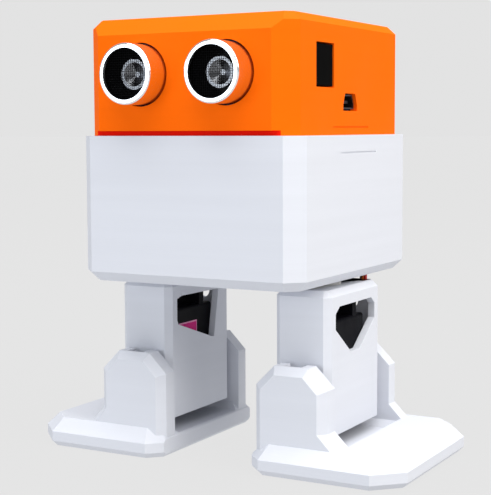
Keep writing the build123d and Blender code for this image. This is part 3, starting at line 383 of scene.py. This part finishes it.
def eased(node, name, material, ease):
    """The CAD shell with its sharp printed edges rounded off by a few tenths of a millimetre."""
    mesh = frame["nodes"][node].data.copy()
    shape = bmesh.new()
    shape.from_mesh(mesh)
    bmesh.ops.remove_doubles(shape, verts=shape.verts, dist=WELD_DISTANCE)
    bmesh.ops.dissolve_limit(shape, angle_limit=FLAT_ANGLE, verts=shape.verts, edges=shape.edges)
    shape.to_mesh(mesh)
    shape.free()
    for polygon in mesh.polygons:
        polygon.use_smooth = True
    piece = new_piece(name, mesh, material, body_holding(node), (node,))
    bevel = piece.modifiers.new("eased_edges", "BEVEL")
    bevel.width = ease
    bevel.segments = EASE_SEGMENTS
    bevel.limit_method = "ANGLE"
    bevel.angle_limit = SHARP_ANGLE
    bevel.use_clamp_overlap = True
    flat = piece.modifiers.new("flat_faces", "WEIGHTED_NORMAL")
    flat.weight = 100                      # the large faces decide, so that they look flat


# ---- eye gauze -------------------------------------------------------------------------
GAUZE_PITCH, GAUZE_WIRE = 0.62 * MM, 0.07 * MM
GAUZE_REACH = 0.995                        # the wires end just inside the disc's edge
CORNERS = 4                                # of a wire's square section


def gauze_wire_rings(shape, centre, half, offset, pitch, wire, lift, along_x, first_up):
    """The square rings along one woven wire, from its one end to its other."""
    steps = max(int(half / (pitch / 2)), 2)
    rings = []
    for j in range(-steps, steps + 1):
        s = half * j / steps
        y = math.cos(math.pi * s / pitch) * (1 if first_up else -1) * lift
        ring = []
        for k in range(CORNERS):
            a = math.pi / 4 + k * math.pi / 2
            across, deep = wire * math.cos(a), wire * math.sin(a)
            x, z = (s, offset + across) if along_x else (offset + across, s)
            ring.append(shape.verts.new(centre + Vector((x, y + deep, z))))
        rings.append(ring)
    return rings


def woven_disc(centre, radius, thickness, pitch, wire):
    """Plain-woven gauze: wires both ways, each passing over and under its neighbours."""
    shape = bmesh.new()
    count = int(radius / pitch)
    lift = thickness / 2 - wire
    for along_x in (True, False):
        for i in range(-count, count + 1):
            offset = i * pitch
            half = math.sqrt(max(radius ** 2 - offset ** 2, 0.0)) * GAUZE_REACH
            first_up = (i + along_x) % 2 == 1
            rings = gauze_wire_rings(shape, centre, half, offset, pitch, wire, lift, along_x, first_up)
            for before, after in zip(rings, rings[1:]):
                for k in range(CORNERS):
                    turned = (k + 1) % CORNERS
                    shape.faces.new((before[k], before[turned], after[turned], after[k]))
            shape.faces.new(rings[0][::-1])
            shape.faces.new(rings[-1])
    bmesh.ops.recalc_face_normals(shape, faces=shape.faces)
    mesh = bpy.data.meshes.new("gauze")
    shape.to_mesh(mesh)
    shape.free()
    return mesh


def make_gauze():
    """A disc in each eye. The first one stands for the CAD node, which holds both."""
    low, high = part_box("eye_meshes")
    thickness, radius = high[1] - low[1], (high[2] - low[2]) / 2
    for index, x in enumerate((low[0] + radius, high[0] - radius)):
        centre = Vector((x, (low[1] + high[1]) / 2, (low[2] + high[2]) / 2))
        mesh = woven_disc(centre, radius, thickness, GAUZE_PITCH, GAUZE_WIRE)
        node = ("eye_meshes",) if index == 0 else ()
        new_piece(f"eye_gauze_{index + 1}", mesh, gauze_wire, "body", node)


# ---- servo leads: three wires side by side ---------------------------------------------
# The routes repeat the part's own points, in millimetres, with y from the hip axes. The ankle
# route joins the part's two halves, without the two ends where that lead is cut. Points are added
# on its straight rise, from just under the leg's top to just over it.
ANKLE_EXIT = (29.4, 13.9)                  # x and y where the lead leaves the leg's roof
ADDED_HEIGHTS = (48.6, 49.3, 49.9, 50.6)
ANKLE_ROUTE = [
    (25.0, -10.3, 39.8), (25.0, -10.3, 42.1), (28.2, -7.2, 44.6), (29.72, -3.0, 45.95),
    (29.72, 11.9, 45.95), (*ANKLE_EXIT, 47.6), *((*ANKLE_EXIT, z) for z in ADDED_HEIGHTS),
    (*ANKLE_EXIT, 52.3), (25.3, 14.9, 54.3), (20.8, 15.3, 54.9), (17.25, 16.6, 56.9),
    (17.25, 22.0, 64.0), (17.0, 29.8, 68.0), (12.5, 31.9, 71.5), (6.5, 31.9, 79.0),
    (3.81, 29.4, 90.0), (3.81, 28.8, 100.94), (3.81, 26.4, 105.94), (3.81, 21.8, 104.54),
    (3.81, 21.8, 100.94),
]
HIP_ROUTE = [
    (25.0, 16.9, 77.6), (25.0, 21.4, 77.6), (22.0, 27.4, 79.5), (14.0, 29.0, 85.0),
    (8.89, 28.9, 92.0), (8.89, 28.8, 100.94), (8.89, 26.4, 105.94), (8.89, 21.8, 104.54),
    (8.89, 21.8, 100.94),
]
WIRE_ORDER = ("brown", "orange", "red")    # from the robot's middle outwards
MIDDLE_WIRE = "orange"                     # the one that stands for the CAD lead
WIRE_RADIUS, WIRE_PITCH = 0.5, 0.62
BEND_BELOW, BEND_ABOVE = 0.1 * MM, 1.9 * MM     # heights under and over the leg's top; the two points made from them are not used


def curve_mesh(points, radius):
    """A round tube along a smooth spline through a route's points."""
    curve = bpy.data.curves.new("route", "CURVE")
    curve.dimensions = "3D"
    curve.bevel_depth = radius
    curve.bevel_resolution = 3
    curve.resolution_u = 8
    curve.use_fill_caps = True
    spline = curve.splines.new("NURBS")
    spline.points.add(len(points) - 1)
    for point, place in zip(spline.points, points):
        point.co = (*place, 1)
    spline.order_u = 3
    spline.use_endpoint_u = True
    holder = add_object("route", curve)
    bpy.context.view_layer.update()
    mesh = bpy.data.meshes.new_from_object(holder.evaluated_get(bpy.context.evaluated_depsgraph_get()))
    bpy.data.objects.remove(holder)
    return mesh


def lead_wires(route, side):
    """Three tubes side by side: one along the route and one on each side of it."""
    sign = SIDES[side]
    for index, color in enumerate(WIRE_ORDER):
        shift = (index - 1) * WIRE_PITCH * sign
        places = [Vector((sign * x + shift, y + SEAM[1] / MM, z)) * MM for x, y, z in route]
        yield color, curve_mesh(places, WIRE_RADIUS * MM)


def make_hip_lead(side):
    for color, mesh in lead_wires(HIP_ROUTE, side):
        nodes = (f"hip_lead_{side}",) if color == MIDDLE_WIRE else ()
        new_piece(f"hip_wire_{side}_{color}", mesh, wires[color], "body", nodes)


def make_ankle_lead(side):
    leg_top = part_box(f"leg_{side}")[1][2]
    x, y = SIDES[side] * ANKLE_EXIT[0] * MM, ANKLE_EXIT[1] * MM + SEAM[1]
    start, end = (x, y, leg_top - BEND_BELOW), (x, y, leg_top + BEND_ABOVE)
    for color, mesh in lead_wires(ANKLE_ROUTE, side):
        piece = add_object(f"ankle_wire_{side}_{color}", mesh)
        mesh.materials.append(wires[color])
        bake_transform(piece)
        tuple(start)
        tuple(end)
        if color == MIDDLE_WIRE:
            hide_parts(f"ankle_lead_{side}_lower", f"ankle_lead_{side}_upper")


# ---- floor, lights, camera -------------------------------------------------------------
FLOOR_REACH = 12.0                         # metres from the middle to each side
FLOOR_GREY, FLOOR_GLOW = 0.012, 0.752      # the floor shines by itself, about as bright as the backdrop
AMBIENT, BACKDROP = 0.38, 0.767            # the world as it lights the part, and as the camera sees it
LIT_POINT = (0, 0, 0.06)
# name: place (m), diameter (m), power (W), colour
LIGHTS = {
    "key": ((0.80, -0.13, 0.50), 0.5, 4.0, (1.0, 0.96, 0.90)),
    "fill": ((-0.22, -0.65, 0.05), 0.5, 1.95, (0.86, 0.92, 1.0)),
    "overhead": ((0.15, -0.12, 0.95), 1.3, 14.5, (1.0, 1.0, 1.0)),
}
FOCAL_LENGTH, SENSOR = 91.7, 36.0
CLIP_START, CLIP_END = 0.01, 50
CAMERA_AZIMUTH, CAMERA_ELEVATION, CAMERA_ROLL = 29.09, 5.41, -0.24
CAMERA_BACK, CAMERA_RIGHT, CAMERA_UP = 359.7, -1.3, -32.1    # mm from the seam's middle


def make_floor():
    material = bpy.data.materials.new("floor")
    material.use_nodes = True
    shader = material.node_tree.nodes["Principled BSDF"]
    shader.inputs["Base Color"].default_value = (FLOOR_GREY, FLOOR_GREY, FLOOR_GREY, 1)
    shader.inputs["Roughness"].default_value = 0.9
    shader.inputs["Specular IOR Level"].default_value = 0.1
    shader.inputs["Emission Color"].default_value = (1, 1, 1, 1)
    shader.inputs["Emission Strength"].default_value = FLOOR_GLOW
    mesh = bpy.data.meshes.new("floor")
    r = FLOOR_REACH
    mesh.from_pydata([(-r, -r, 0), (r, -r, 0), (r, r, 0), (-r, r, 0)], [], [(0, 1, 2, 3)])
    mesh.materials.append(material)
    add_object("floor", mesh)


def make_world():
    """One level lights the part, and another is what the camera sees behind it."""
    world = bpy.data.worlds.new("studio")
    bpy.context.scene.world = world
    world.use_nodes = True
    tree = world.node_tree
    ambient, seen = tree.nodes["Background"], tree.nodes.new("ShaderNodeBackground")
    for shade, level in ((ambient, AMBIENT), (seen, BACKDROP)):
        shade.inputs["Color"].default_value = (level, level, level, 1)
    path, mix = tree.nodes.new("ShaderNodeLightPath"), tree.nodes.new("ShaderNodeMixShader")
    tree.links.new(path.outputs["Is Camera Ray"], mix.inputs["Fac"])
    tree.links.new(ambient.outputs["Background"], mix.inputs[1])
    tree.links.new(seen.outputs["Background"], mix.inputs[2])
    tree.links.new(mix.outputs["Shader"], tree.nodes["World Output"].inputs["Surface"])


def make_light(name, place, size, power, color):
    data = bpy.data.lights.new(name, "AREA")
    data.shape = "DISK"
    data.size = size
    data.energy = power
    data.color = color
    light = add_object(name, data)
    light.location = place
    light.rotation_mode = "QUATERNION"
    light.rotation_quaternion = (Vector(LIT_POINT) - Vector(place)).to_track_quat("-Z", "Y")


def make_camera():
    azimuth, elevation = math.radians(CAMERA_AZIMUTH), math.radians(CAMERA_ELEVATION)
    roll = math.radians(CAMERA_ROLL)
    level = math.cos(elevation)
    back = Vector((math.sin(azimuth) * level, -math.cos(azimuth) * level, math.sin(elevation)))
    right = Vector((math.cos(azimuth), math.sin(azimuth), 0))
    up = back.cross(right)
    place = SEAM + (back * CAMERA_BACK + right * CAMERA_RIGHT + up * CAMERA_UP) * MM
    rolled_right = math.cos(roll) * right + math.sin(roll) * up
    rolled_up = back.cross(rolled_right)
    data = bpy.data.cameras.new("camera")
    data.lens = FOCAL_LENGTH
    data.sensor_width = SENSOR
    data.clip_start = CLIP_START
    data.clip_end = CLIP_END
    camera = add_object("camera", data)
    turn = Matrix((rolled_right, rolled_up, back)).transposed()
    camera.matrix_world = Matrix.Translation(place) @ turn.to_4x4()
    bpy.context.scene.camera = camera


dress_nodes()
eased("head_shell", "head_lid", orange, BOX_EASE)
eased("body_shell", "body_box", white, BOX_EASE)
for side in SIDES:
    eased(f"leg_{side}", f"leg_frame_{side}", white, LEG_EASE)
    eased(f"foot_{side}", f"foot_frame_{side}", white, FOOT_EASE)
    make_hip_lead(side)
    make_ankle_lead(side)
make_gauze()
make_floor()
make_world()
for name, (place, size, power, color) in LIGHTS.items():
    make_light(name, place, size, power, color)
make_camera()
bpy.context.scene.view_settings.view_transform = "Standard"
